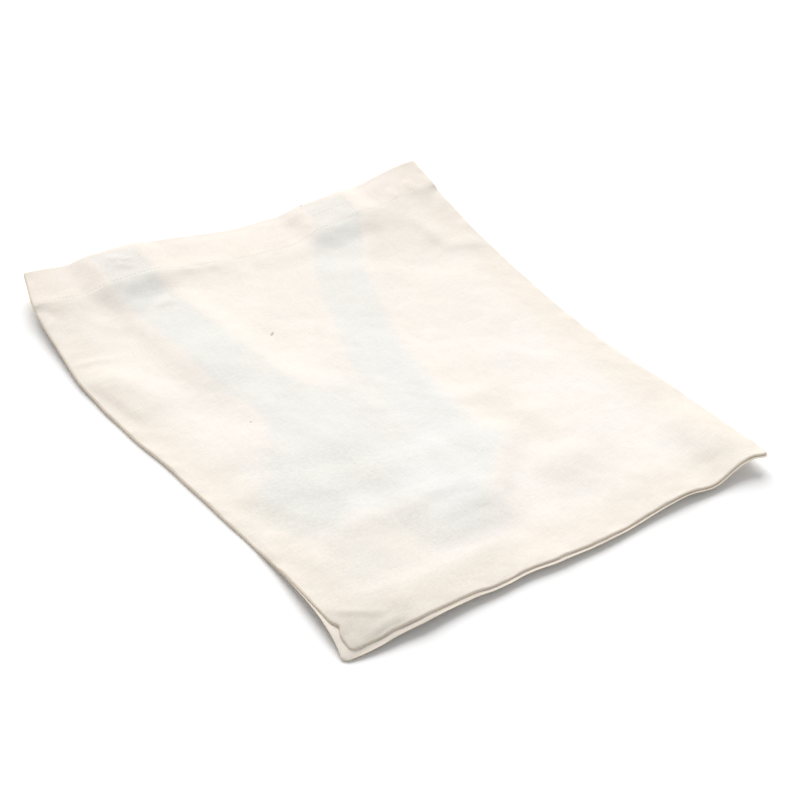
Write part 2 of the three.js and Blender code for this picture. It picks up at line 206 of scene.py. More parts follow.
# Folds of the upper cloth, in cut coordinates: soft ridges, or troughs where the rise is negative.
# A fold bows to its left by bow, and lean makes its left side wider than its right.
FOLDS = table(
    "across0 along0 across1 along1 bow width lean rise",
    (-130, 180, -76, 178, 0, 14, 0.2, 1.0),
    (-130, 176, -112, 148, 0, 10, 0.3, 1.2),
    (58, 187, 92, 186, 0, 12, 0.1, 0.35),
    (98, 190, 138, 190, 0, 6, 0.2, 0.5),
    (-136, 220, -128, 192, 0, 4, 0.3, 0.5),
    (-126, 217, -94, 199, 1, 3, 0.2, 0.8),
    (-120, 207, -98, 193, 1, 3, 0.2, 0.7),
    (45, 222, 64, 188, 0, 6, 0.3, 0.7),
    (148, 206, 150, 186, 0, 4, 0.0, 0.6),
    (167, 207, 170, 184, 0, 5, 0.0, 0.8),
    (-106, 152, -84, 150, 0, 6, 0.5, 0.7),
    (-188, 120, -140, 32, 4, 14, 0.1, 2.0),
    (-198, 119, -148, 109, 2, 3, 0.0, 0.6),
    (-108, 108, -84, 36, 0, 24, 0.1, 1.0),
    (-16, 182, 2, 158, 0, 6, 0.0, -0.7),
    (-80, 182, -14, 179, 0, 9, 0.6, 0.5),
    (-184, 112, -168, 28, 0, 12, 0.5, 2.2),
    (44, 180, 80, 158, 3, 7, 0.2, 0.2),
    (153, 184, 153, 116, 0, 18, 0.0, 2.0),
    (100, 172, 214, 176, 0, 30, 0.1, 1.1),
    (-214, 174, -132, 172, 0, 26, 0.1, 0.9),
    (148, 170, 156, 112, -2, 8, 0.3, 1.1),
    (140, 122, 194, 101, 0, 10, 0.3, 1.5),
    (24, 168, 166, 68, 8, 14, 0.1, -1.1),
    (-150, -4, -128, -66, 0, 18, 0.0, 0.7),
    (-150, -84, -55, -96, 0, 16, 0.4, 0.7),
    (-206, -116, -84, -140, 0, 34, 0.1, 2.8),
    (-88, -126, -8, -136, 0, 9, 0.3, 0.9),
    (-80, -152, 0, -154, 0, 11, 0.2, 1.1),
    (-196, -104, -150, -119, 0, 10, 0.2, 0.8),
    (-165, -130, -163, -178, 0, 8, 0.0, 0.7),
    (-206, -180, -128, -224, 0, 10, 0.2, 0.5),
    (8, -44, 92, -55, 0, 12, 0.0, 1.0),
    (94, -2, 138, -62, 2, 14, -0.3, 0.9),
    (72, -70, 66, -130, 0, 18, 0.4, 1.3),
    (22, -142, 92, -146, 0, 20, 0.0, 1.7),
    (80, -178, 100, -194, 0, 6, 0.2, 0.5),
    (160, -130, 158, -222, 0, 14, 0.2, 1.6),
    (196, -10, 192, -130, 0, 28, 0.0, 0.8),
    (-192, -186, -142, -215, 0, 3, 0.4, 0.8),
    (-174, -224, -130, -222, 5, 3.5, 0.2, 0.9),
)

# Soft patches of painted shade, where the upper cloth lies close on what is under it, in its troughs
# and at its drooping near left corner, so that it looks greyer
CLOSE_SHADE = table(
    "across along half_across half_along strength",
    (-137, -38, 22, 20, 0.5),
    (-104, -78, 50, 26, 0.65),
    (-137, -97, 26, 22, 1.0),
    (-118, -156, 40, 26, 1.1),
    (-168, -160, 20, 34, 0.45),
    (-166, -206, 34, 20, 1.2),
    (-92, -206, 46, 14, 0.65),
    (-45, -162, 44, 12, 0.55),
    (-108, 66, 20, 28, 0.15),
    (-122, 164, 14, 16, 0.2),
    (-106, 199, 18, 10, 0.2),
    (56, -88, 16, 36, 0.25),
    (58, -162, 34, 20, 0.35),
    (15, -28, 8, 12, 0.2),
    (0, -100, 12, 16, 0.25),
    (122, 150, 18, 18, 0.2),
    (160, -190, 40, 24, 0.2),
    (168, -105, 16, 30, 0.2),
)

# Soft patches where loose turns of the handles fill the gaps between their runs and show through too
LOOSE_TURNS = table(
    "across along half_across half_along strength",
    (-98, -62, 44, 26, 0.85),
    (-132, -94, 36, 24, 0.85),
    (-34, -30, 26, 40, 0.6),
    (-36, -92, 40, 28, 0.85),
    (-52, -154, 34, 22, 0.65),
)

# Soft patches where the cloth is warmer in colour
WARM = table(
    "across along half_across half_along strength",
    (164, 176, 62, 66, 0.55),
    (-40, 176, 70, 22, 0.5),
    (-172, 150, 26, 60, 0.5),
    (-44, 105, 44, 80, 0.35),
    (62, -60, 22, 70, 0.35),
)

# How a cloth is warmer in colour near its seams, at its hem and towards its mouth, and how far in from
# its sewn edges painted shade darkens it browner
SEAM_WARM_REACH = 28
HEM_WARMTH = 0.6
MOUTH_WARMTH = 0.4
MOUTH_WARM_START = -60
MOUTH_WARM_REACH = 220
EDGE_SHADE_REACH = 1.6

# How much of one strap run shows through the upper cloth, and how softly: more so low down
STRAP_SHOWS = 0.75
SHOW_SOFTNESS = 6
SHOW_SOFTER = 9
SHOW_SOFTER_START = 20
SHOW_SOFTER_REACH = 90

# Where the handles' ends sit across the bag, and the stitched box on each
LEFT_SEAT = -113
RIGHT_SEAT = 84
SEAT_BOX_LOW = 187
SEAT_BOX_HIGH = 206
LEFT_SEAT_BOX = (-124, -91)
RIGHT_SEAT_BOX = (68, 105)

# The handles' centre lines in plan, a list for each run between folds
HANDLE_UPPER_RUNS = [
    [(-107, 196), (-108, 168), (-102, 131), (-98, 93), (-93, 48), (-84, 8), (-94, -32)],
    [(-140, -90), (-76, -108)],
    [(22, -120), (14, -63), (19, -7), (22, 28), (33, 62), (46, 100), (60, 138), (79, 167), (91, 197)],
]
HANDLE_LOWER_RUNS = [
    [(-107, 196), (-107, 168), (-97, 128), (-86, 71), (-79, 32), (-54, -21), (-43, -79)],
    [(-34, -164), (-2, -88), (5, -22), (10, 20), (26, 63), (39, 100), (56, 138), (78, 167), (91, 197)],
]


def ease(t):
    """A smooth step from 0 to 1 as t goes from 0 to 1."""
    s = np.clip(t, 0, 1)
    return s * s * (3 - 2 * s)


def fade(share):
    """1 up to 0.6 of a reach, falling smoothly to 0 at 1.6 of it."""
    return ease(1.6 - share)


def curve_through(rows, at, column):
    """A smooth curve through one column of a table whose rows are stations in rising order."""
    stations, values = rows[at], rows[column]
    last = len(stations) - 1
    before = np.maximum(np.arange(last + 1) - 1, 0)
    after = np.minimum(np.arange(last + 1) + 1, last)
    slopes = (values[after] - values[before]) / (stations[after] - stations[before])

    def value(station):
        i = np.clip(np.searchsorted(stations, station, side="right") - 1, 0, last - 1)
        span = stations[i + 1] - stations[i]
        t = np.clip((station - stations[i]) / span, 0, 1)
        end = 3 * t**2 - 2 * t**3
        leave = t**3 - 2 * t**2 + t
        arrive = t**3 - t**2
        bend = span * (leave * slopes[i] + arrive * slopes[i + 1])
        return (1 - end) * values[i] + end * values[i + 1] + bend

    return value


left_edge = curve_through(SIDE_EDGES, "along", "left")
right_edge = curve_through(SIDE_EDGES, "along", "right")
mouth_edge = curve_through(END_EDGES, "across", "mouth")
bottom_edge = curve_through(END_EDGES, "across", "bottom")
mouth_lift = curve_through(END_EDGES, "across", "mouth_lift")
bottom_lift = curve_through(END_EDGES, "across", "bottom_lift")
left_pull = curve_through(SIDE_EDGES, "along", "left_pull")
bottom_pull = curve_through(END_EDGES, "across", "bottom_pull")
hem_inset = curve_through(HEM_STITCH, "across", "inset")


def relief(seed, cell_across, cell_along, turn=0):
    """A smooth random relief of about unit height, with cells of a given size, turned by degrees."""
    reach = 320
    to_unit_height = 1.9
    shape = (int(2 * reach / cell_across) + 5, int(2 * reach / cell_along) + 5)
    knots = np.random.default_rng(seed).standard_normal(shape) * to_unit_height
    c, s = math.cos(math.radians(turn)), math.sin(math.radians(turn))

    def weights(t):
        return ((1 - t) ** 3, 3 * t**3 - 6 * t**2 + 4, -3 * t**3 + 3 * t**2 + 3 * t + 1, t**3)

    def value(across, along):
        p = (across * c + along * s + reach) / cell_across
        q = (along * c - across * s + reach) / cell_along
        i, j = np.floor(p).astype(int), np.floor(q).astype(int)
        total = 0
        for a, wa in enumerate(weights(p - i)):
            for b, wb in enumerate(weights(q - j)):
                total = total + wa * wb * knots[i + a, j + b] / 36
        return total

    return value


# Where the cloth lies

edge_waver = relief(11, 16, 16)
edge_drift = relief(12, 48, 48)


def waver(across, along):
    """How far a sewn edge strays from its smooth line."""
    return FINE_WAVER * edge_waver(across, along) + BROAD_WAVER * edge_drift(across, along)


def lay_out(across, along):
    """Where a point of the cut cloth lies in plan."""
    s = 0.5 + across / BAG_WIDTH
    t = 0.5 + along / BAG_LENGTH
    x = (1 - s) * left_edge(along) + s * right_edge(along)
    y = (1 - t) * bottom_edge(across) + t * mouth_edge(across)
    return x, y


def in_place(across, along):
    """The lower cloth lies as it is cut."""
    return across, along


def pulled_in(across, along):
    """The point of the lower cloth that a point of the upper cloth lies over."""
    near_left = ease(1 - (across + BAG_WIDTH / 2) / PULL_FADE)
    near_bottom = ease(1 - (along + BAG_LENGTH / 2) / PULL_FADE)
    notch_along = np.exp(-(((along - NOTCH_ALONG) / NOTCH_HALF_LENGTH) ** 2))
    notch = NOTCH_DEPTH * notch_along * near_left**4
    return across + left_pull(along) * near_left + notch, along + bottom_pull(across) * near_bottom


def lay_edges(across, along, lies_at=in_place):
    """Where a point of a cloth lies in plan, with uneven sewn edges and small rounded corners."""
    x, y = lay_out(*lies_at(across, along))
    from_side = BAG_WIDTH / 2 - np.abs(across)
    from_bottom = BAG_LENGTH / 2 + along
    side = ease(1 - from_side / WAVER_REACH)
    low = ease(1 - from_bottom / WAVER_REACH)
    x = x + side * waver(np.sign(across) * SIDE_WAVER_LINE, along)
    y = y + low * waver(across, BOTTOM_WAVER_LINE)
    round_side = np.clip(1 - from_bottom / CORNER_REACH, 0, 1) ** 2 * side
    round_low = np.clip(1 - from_side / CORNER_REACH, 0, 1) ** 2 * low
    return x - CORNER_CUT * np.sign(across) * round_side, y + CORNER_CUT * round_low


def cut_point(x, y):
    """The point of the cut cloth that lies at a place in plan."""
    across, along = np.array(x, float), np.array(y, float)
    for _ in range(PLAN_PASSES):
        lies_x, lies_y = lay_out(across, along)
        across = across + x - lies_x
        along = along + y - lies_y
    return across, along


def hump(across, along):
    """The rise of the cloth before its drooping near left corner."""
    right, up = across + BAG_WIDTH / 2, along + BAG_LENGTH / 2
    inward = right * math.sin(HUMP_SLANT) + up * math.cos(HUMP_SLANT)
    aside = right * math.cos(HUMP_SLANT) - up * math.sin(HUMP_SLANT)
    climb = ease((HUMP_CREST + HUMP_CLIMB - inward) / HUMP_CLIMB)
    droop = np.maximum(1 - inward / HUMP_CREST, 0) ** 2
    return HUMP_RISE * climb * (1 - droop) * ease(1 - (aside - HUMP_REACH) / HUMP_FADE)


def curl(across, along):
    """The height of the lower cloth's underside, but for its puckers."""
    mouth_share = (along - MOUTH_CURL_START) / (BAG_LENGTH / 2 - MOUTH_CURL_START)
    bottom_share = (BOTTOM_CURL_START - along) / (BAG_LENGTH / 2 + BOTTOM_CURL_START)
    at_mouth = np.maximum(mouth_lift(across), 0) * np.maximum(mouth_share, 0) ** 2
    at_bottom = np.maximum(bottom_lift(across), 0) * np.maximum(bottom_share, 0) ** 2
    return at_mouth + at_bottom + hump(across, along)


def inside_seam(across, along):
    """How far inside the nearest sewn edge a point lies, at a side or the bottom."""
    return np.minimum(BAG_WIDTH / 2 - np.abs(across), BAG_LENGTH / 2 + along)


def inside_mouth(across, along):
    """How far inside the mouth's edge a point lies."""
    return BAG_LENGTH / 2 - along


def below_hem(across, along):
    """How far below the hem's stitch line a point lies."""
    return inside_mouth(across, along) - hem_inset(across)


def off_seam(across, along):
    """0 at a sewn edge and 1 well inside it."""
    return ease((inside_seam(across, along) - OFF_SEAM_START) / OFF_SEAM_REACH)


def hem_cover(across, along):
    """What the hem's second ply adds to the height of the cloth over it."""
    fall = HEM_FALL_AT_SEAM + (HEM_FALL - HEM_FALL_AT_SEAM) * off_seam(across, along)
    return HEM_EXTRA * ease(1 - (below_hem(across, along) - HEM_REST) / fall)


def seam_cover(across, along):
    """What the seam allowance adds to the height of the cloth over it."""
    beyond = inside_seam(across, along) - SEAM_ALLOWANCE
    return SEAM_EXTRA * ease(1 - (beyond - SEAM_REST) / SEAM_FALL)


# The handles

def dense_line(points, per_span=160):
    """Points close together on the centripetal curve through a few points."""
    p = [np.array(q, float) for q in points]
    p = [2 * p[0] - p[1], *p, 2 * p[-1] - p[-2]]
    out = []
    for i in range(1, len(p) - 2):
        d0, d1, d2 = (math.sqrt(np.linalg.norm(p[i + k] - p[i + k - 1])) for k in (0, 1, 2))
        before, a, b, after = p[i - 1:i + 3]
        t1 = ((a - before) / d0 - (b - before) / (d0 + d1) + (b - a) / d1) * d1
        t2 = ((b - a) / d1 - (after - a) / (d1 + d2) + (after - b) / d2) * d1
        t = np.linspace(0, 1, per_span, endpoint=(i == len(p) - 3))[:, None]
        out.append(a + t1 * t + (3 * (b - a) - 2 * t1 - t2) * t**2 + (2 * (a - b) + t1 + t2) * t**3)
    return np.vstack(out)


def run_rows(points, start_turn, end_turn, side):
    """The crosswise rows of one strap run: centres, half widths and headings."""
    line = dense_line(points)
    walked = np.r_[0, np.cumsum(np.linalg.norm(np.diff(line, axis=0), axis=1))]
    count = max(2, int(round(walked[-1] / STRAP_STEP)))
    at = np.linspace(0, walked[-1], count + 1)

    def on_line(s):
        s = np.clip(s, 0, walked[-1])
        return np.stack([np.interp(s, walked, line[:, k]) for k in (0, 1)], -1)

    heading = on_line(at + HEADING_STEP) - on_line(at - HEADING_STEP)
    heading /= np.linalg.norm(heading, axis=1)[:, None]
    sideways = np.stack([-heading[:, 1], heading[:, 0]], -1) * side
    turn = np.linspace(start_turn, end_turn, count + 1)[:, None]
    return on_line(at), (sideways + heading * turn) * STRAP_WIDTH / 2, heading


def fold_slant(arrives, leaves, side):
    """How far a fold line slants from square across the strap."""
    across = (arrives - leaves) / np.linalg.norm(arrives - leaves)
    fold = np.array([-across[1], across[0]])
    sideways = np.array([-arrives[1], arrives[0]]) * side
    return (fold @ arrives) / (fold @ sideways)


def lay_handle(middle_runs):
    """One handle's runs from sewn end to sewn end. Its face looks up on every other run."""
    mouth_along = BAG_LENGTH / 2 - MOUTH_TUCK
    seats = []
    for seat in (LEFT_SEAT, RIGHT_SEAT):
        at_mouth = np.array(lay_out(float(seat), mouth_along))
        sewn_along = lay_out(float(seat), mouth_along - STRAP_SEWN_LENGTH)[1]
        seats.append((at_mouth, np.array([at_mouth[0], sewn_along])))
    folds = [seats[0][0], *[np.array(run[0], float) for run in middle_runs[1:]], seats[1][0]]
    ends = [seats[0][1], *folds, seats[1][1]]
    inner = [[], *[run if i == 0 else run[1:] for i, run in enumerate(middle_runs)], []]
    lines = [[ends[i], *points, ends[i + 1]] for i, points in enumerate(inner)]
    headings = [run_rows(points, 0, 0, 1)[2] for points in lines]
    sides = [1 if i % 2 == 0 else -1 for i in range(len(lines))]
    slants = [
        0,
        *[fold_slant(headings[i][-1], headings[i + 1][0], sides[i]) for i in range(len(folds))],
        0,
    ]
    runs = []
    for i, points in enumerate(lines):
        centre, half, heading = run_rows(points, slants[i], slants[i + 1], sides[i])
        outline = np.vstack([centre + half, (centre - half)[::-1]])
        runs.append({
            "centre": centre, "half": half, "outline": outline,
            "up": sides[i], "arrives": heading[-1],
        })
    return runs


def outside_of(x, y, outline):
    """The distance in plan to a strap run's outline, below 0 inside it."""
    inside = np.zeros(np.shape(x), bool)
    nearest = np.full(np.shape(x), np.inf)
    thin = outline[::2]
    for a, b in zip(thin, np.roll(thin, -1, axis=0)):
        d = b - a
        t = np.clip(((x - a[0]) * d[0] + (y - a[1]) * d[1]) / (d @ d), 0, 1)
        nearest = np.minimum(nearest, np.hypot(x - a[0] - t * d[0], y - a[1] - t * d[1]))
        if d[1] != 0:
            inside ^= ((a[1] > y) != (b[1] > y)) & (x < a[0] + (y - a[1]) / d[1] * d[0])
    return np.where(inside, -nearest, nearest)


def cover_of(outside):
    """What a strap run adds to the height of the cloth over it."""
    return (STRAP_THICKNESS + PLY_GAP) * ease(1 - (outside - STRAP_REST) / STRAP_FALL)


lower_runs = lay_handle(HANDLE_LOWER_RUNS)
upper_runs = lay_handle(HANDLE_UPPER_RUNS)

# The pile between the cloths, from the bottom up. A handle's sewn ends lie against its own cloth.
PILE = [
    lower_runs[0], lower_runs[-1], *lower_runs[1:-1],
    *upper_runs[1:-1], upper_runs[0], upper_runs[-1],
]


def rest_height(across, along):
    """The height of what rests on the lower cloth."""
    cover = curl(across, along) + PLY + PLY_GAP
    return cover + hem_cover(across, along) + seam_cover(across, along)


# The cloths' heights

def waves(x, y):
    """The broad rises of the upper cloth."""
    total = 0
    for wave_x, wave_y, turn, length, width, rise in zip(*WAVES.values()):
        c, s = math.cos(math.radians(turn)), math.sin(math.radians(turn))
        dx, dy = x - wave_x, y - wave_y
        lengthwise = (dx * c + dy * s) / length
        widthwise = (dy * c - dx * s) / width
        total = total + rise * np.exp(-2 * (lengthwise**2 + widthwise**2))
    return total


def folds(across, along):
    """The folds of the upper cloth, each running out at both ends."""
    total = 0
    for a0, l0, a1, l1, bow, width, lean, rise in zip(*FOLDS.values()):
        da, dl = a1 - a0, l1 - l0
        length = math.hypot(da, dl)
        t = ((across - a0) * da + (along - l0) * dl) / length**2
        aside = ((along - l0) * da - (across - a0) * dl) / length - bow * 4 * t * (1 - t)
        profile = np.exp(-((aside / (width * (1 + lean * np.sign(aside)))) ** 2))
        total = total + rise * profile * ease(t / FOLD_RUN_OUT) * ease((1 - t) / FOLD_RUN_OUT)
    return total


broad_noise = relief(21, 46, 60, 20)
middle_noise = relief(22, 19, 26, -25)
fine_noise = relief(23, 7, 10, 35)
pucker_noise = relief(24, 6, 6)


def puckers(across, along):
    """The small gathers along a sewn edge and along the hem's stitches, for both cloths."""
    seam = inside_seam(across, along)
    near_seam = np.exp(-((seam / SEAM_PUCKER_REACH) ** 2))
    near_hem = np.exp(-((below_hem(across, along) / HEM_PUCKER_REACH) ** 2))
    gather = pucker_noise(across, along)
    at_seam = SEAM_PUCKER * gather * near_seam * ease(seam / PUCKER_GROWTH + PUCKER_AT_EDGE)
    return at_seam + HEM_PUCKER * gather * near_hem


def handling(across, along):
    """The unevenness of cloth that has been folded and handled."""
    seam = inside_seam(across, along)
    field = ease(seam / UNEVEN_SEAM_REACH) * ease(below_hem(across, along) / UNEVEN_HEM_REACH)
    broad = BROAD_UNEVENNESS * broad_noise(across, along)
    middle = MIDDLE_UNEVENNESS * middle_noise(across, along)
    fine = FINE_UNEVENNESS * fine_noise(across, along)
    return field * (broad + middle) + fine * ease(seam / UNEVEN_FINE_REACH)


def rounded(inset, radius):
    """How far a sheet's face falls at its edge, in a quarter circle."""
    t = np.clip(1 - inset / radius, 0, 1)
    return radius * (1 - np.sqrt(np.clip(1 - t**2, 0, 1)))


def thickness(across, along):
    """How thick a cloth is. At a sewn edge its hem ends softly, so that no gap shows below it."""
    hem = HEM_EXTRA * ease((PLY_END / 2 - below_hem(across, along)) / PLY_END)
    hem = np.maximum(hem, hem_cover(across, along) * (1 - off_seam(across, along)))
    inside = SEAM_ALLOWANCE + PLY_END / 2 - inside_seam(across, along)
    return PLY + hem + SEAM_EXTRA * ease(inside / PLY_END)


def stitch_groove(across, along):
    """How deep the hem's stitches are drawn into the cloth."""
    return GROOVE_DEPTH * np.exp(-((below_hem(across, along) / GROOVE_HALF_WIDTH) ** 2))


def edge_falls(across, along):
    """How far the outer and the inner face of a cloth fall at its edges: its sewn edges round over to
    the seam, and the hem's fold is a half circle."""
    seam = inside_seam(across, along)
    mouth = inside_mouth(across, along)
    thick = thickness(across, along)
    sewn_fall = rounded(seam, SEAM_EXTRA + PLY)
    fold_fall = rounded(mouth, (HEM_EXTRA + PLY) / 2)
    outer = np.minimum(sewn_fall + fold_fall, thick - LEAST_EDGE)
    inner = np.minimum(fold_fall, thick / 2 - LEAST_HALF_EDGE)
    return outer, inner


def upper_heights(across, along):
    """The upper cloth's top and underside."""
    at = pulled_in(across, along)
    x, y = lay_out(*at)
    pile = sum(cover_of(outside_of(x, y, run["outline"])) for run in PILE)
    seam, hem = inside_seam(across, along), below_hem(across, along)
    free = seam - SEAM_PULL_REACH
    field = ease(np.minimum(free, hem + WAVES_ABOVE_HEM) / WAVES_REACH)
    slack = MOUTH_SLACK * ease(inside_mouth(across, along) / MOUTH_SLACK_REACH)
    slack = slack + FIELD_SLACK * ease(hem / FIELD_SLACK_REACH)
    slack = slack * ease(free / SLACK_SEAM_REACH)
    loose = slack + field * waves(x, y) + folds(across, along) + handling(across, along)
    loose = TOUCH_SOFTNESS * np.logaddexp(0, loose / TOUCH_SOFTNESS)
    seam_pull = ease(seam / SEAM_PULL_REACH)
    under = rest_height(*at) + pile + loose * seam_pull + puckers(across, along)
    doubled = hem_cover(across, along) + seam_cover(across, along) + PLY
    outer, inner = edge_falls(across, along)
    top = under + doubled - stitch_groove(across, along) - outer
    return top, under + doubled - thickness(across, along) + inner


def lower_heights(across, along):
    """The lower cloth's top and underside."""
    outer, inner = edge_falls(across, along)
    lift = np.maximum(puckers(across, along), PUCKER_FLOOR) * ease(curl(across, along) / PUCKER_LIFT)
    under = curl(across, along) + lift
    groove = stitch_groove(across, along) * ease(curl(across, along))
    return under + thickness(across, along) - inner, under + outer + groove


# Meshes

def new_object(name, data):
    thing = bpy.data.objects.new(name, data)
    bpy.context.scene.collection.objects.link(thing)
    return thing


def make_mesh(name, points, faces, coordinates=None, masks=None):
    """An object at the origin, from points and cloth coordinates in millimetres."""
    mesh = bpy.data.meshes.new(name)
    mesh.from_pydata((points * MM).tolist(), [], faces)
    if coordinates is not None:
        layer = mesh.uv_layers.new(name="cloth")
        corners = np.empty(len(mesh.loops), int)
        mesh.loops.foreach_get("vertex_index", corners)
        layer.data.foreach_set("uv", (coordinates[corners] * MM).ravel())
    for key, values in (masks or {}).items():
        mesh.attributes.new(key, "FLOAT", "POINT").data.foreach_set("value", values.ravel())
    mesh.polygons.foreach_set("use_smooth", [True] * len(mesh.polygons))
    mesh.update()
    return new_object(name, mesh)


def shell_faces(rows, columns):
    """The faces of a closed sheet: its front grid, its back grid and the walls round them."""
    index = np.arange(rows * columns).reshape(rows, columns)
    back = index + rows * columns
    a, b, c, d = index[:-1, :-1], index[:-1, 1:], index[1:, 1:], index[1:, :-1]
    front_faces = np.stack([a, b, c, d], -1).reshape(-1, 4)
    back_faces = np.stack([a, d, c, b], -1).reshape(-1, 4) + rows * columns
    walls = []
    borders = (np.s_[0, :], np.s_[:, -1], np.s_[-1, ::-1], np.s_[::-1, 0])
    for line, other in ((index[border], back[border]) for border in borders):
        walls.append(np.stack([other[:-1], other[1:], line[1:], line[:-1]], -1))
    return np.vstack([front_faces, back_faces, *walls]).tolist()


# How far the lines of a grid lie inside an edge, and off the hem's stitch line
EDGE_INSETS = (0, 0.05, 0.2, 0.45, 0.8, 1.25, 1.8, 2.8, 4.4)
STITCH_OFFSETS = (-3.4, -2.2, -1.4, -0.9, -0.45, 0, 0.45, 0.9, 1.4, 2.2, 3.4)


def grid_lines(start, end, step):
    """Even stations between two others."""
    count = max(1, int(round((end - start) / step)))
    return np.linspace(start, end, count + 1)[1:-1]


def edge_lines(half):
    """Stations by the two edges of a cloth that reaches so far to both sides."""
    return [inset - half for inset in EDGE_INSETS], [half - inset for inset in reversed(EDGE_INSETS)]


def across_lines(step):
    left, right = edge_lines(BAG_WIDTH / 2)
    return np.r_[left, grid_lines(left[-1], right[0], step), right]


def along_lines(step):
    low, high = edge_lines(BAG_LENGTH / 2)
    hem = [BAG_LENGTH / 2 - HEM_DEPTH + offset for offset in STITCH_OFFSETS]
    field, turned = grid_lines(low[-1], hem[0], step), grid_lines(hem[-1], high[0], step)
    return np.r_[low, field, hem, turned, high]


def cloth_piece(name, heights, lies_at, step, masks_of):
    """A cloth as a closed sheet. The lines of its grid by the hem bend to follow the stitches."""
    across, along = np.meshgrid(across_lines(step), along_lines(step))
    pull = np.exp(-((along - BAG_LENGTH / 2 + HEM_DEPTH) / HEM_LINES_REACH) ** 2)
    along = along + pull * (HEM_DEPTH - hem_inset(across))
    x, y = lay_edges(across, along, lies_at)
    top, under = heights(across, along)
    front = np.stack([x, y, top], -1).reshape(-1, 3)
    back = np.stack([x, y, under], -1).reshape(-1, 3)
    flat = np.stack([across, along], -1).reshape(-1, 2)
    masks = {key: np.tile(value.ravel(), 2) for key, value in masks_of(across, along).items()}
    return make_mesh(name, np.vstack([front, back]), shell_faces(*across.shape),
                     np.vstack([flat, flat]), masks)


def patches(rows, across, along):
    """Soft patches between a box and an ellipse in form."""
    total = 0
    for a, l, half_a, half_l, strength in zip(*rows.values()):
        away = np.maximum(np.abs(across - a) / half_a, np.abs(along - l) / half_l)
        round_away = np.hypot((across - a) / half_a, (along - l) / half_l)
        total = np.maximum(total, strength * fade(0.5 * (away + round_away)))
    return total


def lower_masks(across, along):
    """Where a cloth is warmer in colour, where its hem doubles it, and where painted shade darkens its
    edges.
    """
    seam = inside_seam(across, along)
    at_hem = ease(0.5 - below_hem(across, along))
    to_mouth = MOUTH_WARMTH * ease((along - MOUTH_WARM_START) / MOUTH_WARM_REACH)
    warm = np.maximum(np.maximum(fade(seam / SEAM_WARM_REACH), HEM_WARMTH * at_hem), to_mouth)
    return {"warm": warm, "doubled": at_hem, "edge": ease(1 - seam / EDGE_SHADE_REACH)}


def upper_masks(across, along):
    """The same, with painted shade where the upper cloth lies close, and where the handles show through
    it.
    They show less sharply low down, where more slack lies between."""
    x, y = lay_out(across, along)
    softness = SHOW_SOFTNESS + SHOW_SOFTER * ease((SHOW_SOFTER_START - along) / SHOW_SOFTER_REACH)
    clear = 1
    for run in [*upper_runs, *lower_runs]:
        over = ease(0.5 - outside_of(x, y, run["outline"]) / softness)
        clear = clear * (1 - STRAP_SHOWS * over)
    shows = np.maximum(1 - clear, patches(LOOSE_TURNS, across, along))
    masks = lower_masks(across, along)
    warm = np.maximum(masks["warm"], patches(WARM, across, along))
    # The close mask is painted shade where the upper cloth lies close, in troughs and at the drooping
    # corner
    return {**masks, "warm": warm, "strap_shows": shows, "close": patches(CLOSE_SHADE, across, along)}


upper_cloth = cloth_piece("upper_cloth", upper_heights, pulled_in, UPPER_STEP, upper_masks)
lower_cloth = cloth_piece("lower_cloth", lower_heights, in_place, LOWER_STEP, lower_masks)


def strap_points(run):
    """The points of a strap run at mid thickness, its first column on its left where it faces up."""
    below = PILE[:next(k for k, other in enumerate(PILE) if other is run)]
    shares = np.linspace(1, -1, STRAP_COLUMNS + 1)[None, :, None]
    plan = run["centre"][:, None, :] + run["half"][:, None, :] * shares
    x, y = plan[..., 0], plan[..., 1]
    height = rest_height(*cut_point(x, y)) + STRAP_THICKNESS / 2
    for other in below:
        height = height + cover_of(outside_of(x, y, other["outline"]))
    return np.dstack([plan, height])


def strap_piece(name, runs):
    """A handle as one closed sheet: its runs, and the half rolls where one folds into the next."""
    middles, normals, walked = [], [], []
    points = [strap_points(run) for run in runs]
    length = 0
    for i, run in enumerate(runs):
        up = np.zeros_like(points[i])
        up[..., 2] = run["up"]
        middles.append(points[i])
        normals.append(up)
        steps = np.linalg.norm(np.diff(run["centre"], axis=0), axis=1)
        walked.append(length + np.r_[0, np.cumsum(steps)])
        length = walked[-1][-1]
        if i + 1 < len(runs):
            last, following = points[i][-1], points[i + 1][0]
            fold = run["half"][-1] / np.linalg.norm(run["half"][-1])
            outward = run["arrives"] - fold * (run["arrives"] @ fold)
            outward = outward / np.linalg.norm(outward)
            rise = (following[:, 2] - last[:, 2]) / 2
            for k in range(1, FOLD_STEPS):
                angle = k * math.pi / FOLD_STEPS
                radial = np.zeros_like(last)
                radial[:, :2] = outward * math.sin(angle)
                radial[:, 2] = -np.sign(rise) * math.cos(angle)
                middle = last.copy()
                middle[:, :2] += (following[:, :2] - last[:, :2]) * k / FOLD_STEPS
                middle[:, 2] += rise
                middles.append((middle + radial * np.abs(rise)[:, None])[None])
                normals.append((radial * (-np.sign(rise) * run["up"])[:, None])[None])
                walked.append(np.array([length]))
    middle = np.concatenate(middles)
    normal = np.concatenate(normals)
    walked = np.concatenate(walked)
    shares = np.linspace(1, -1, STRAP_COLUMNS + 1)
    in_edge = np.maximum(np.abs(shares) * STRAP_WIDTH / 2 - STRAP_WIDTH / 2 + STRAP_ROUND, 0)
    half = (STRAP_THICKNESS / 2 * np.sqrt(1 - in_edge**2))[None, :, None]
    front = (middle + normal * half).reshape(-1, 3)
    back = (middle - normal * half).reshape(-1, 3)
    flat = np.stack(np.meshgrid(shares * STRAP_WIDTH / 2, walked), -1).reshape(-1, 2)
    faces = shell_faces(*middle.shape[:2])
    return make_mesh(name, np.vstack([front, back]), faces, np.vstack([flat, flat]))


lower_strap = strap_piece("lower_strap", lower_runs)
upper_strap = strap_piece("upper_strap", upper_runs)


# Stitches

THREAD_PITCH = 3.1
THREAD_GAP = 0.6
THREAD_RADIUS = 0.15
THREAD_SIDES = 6

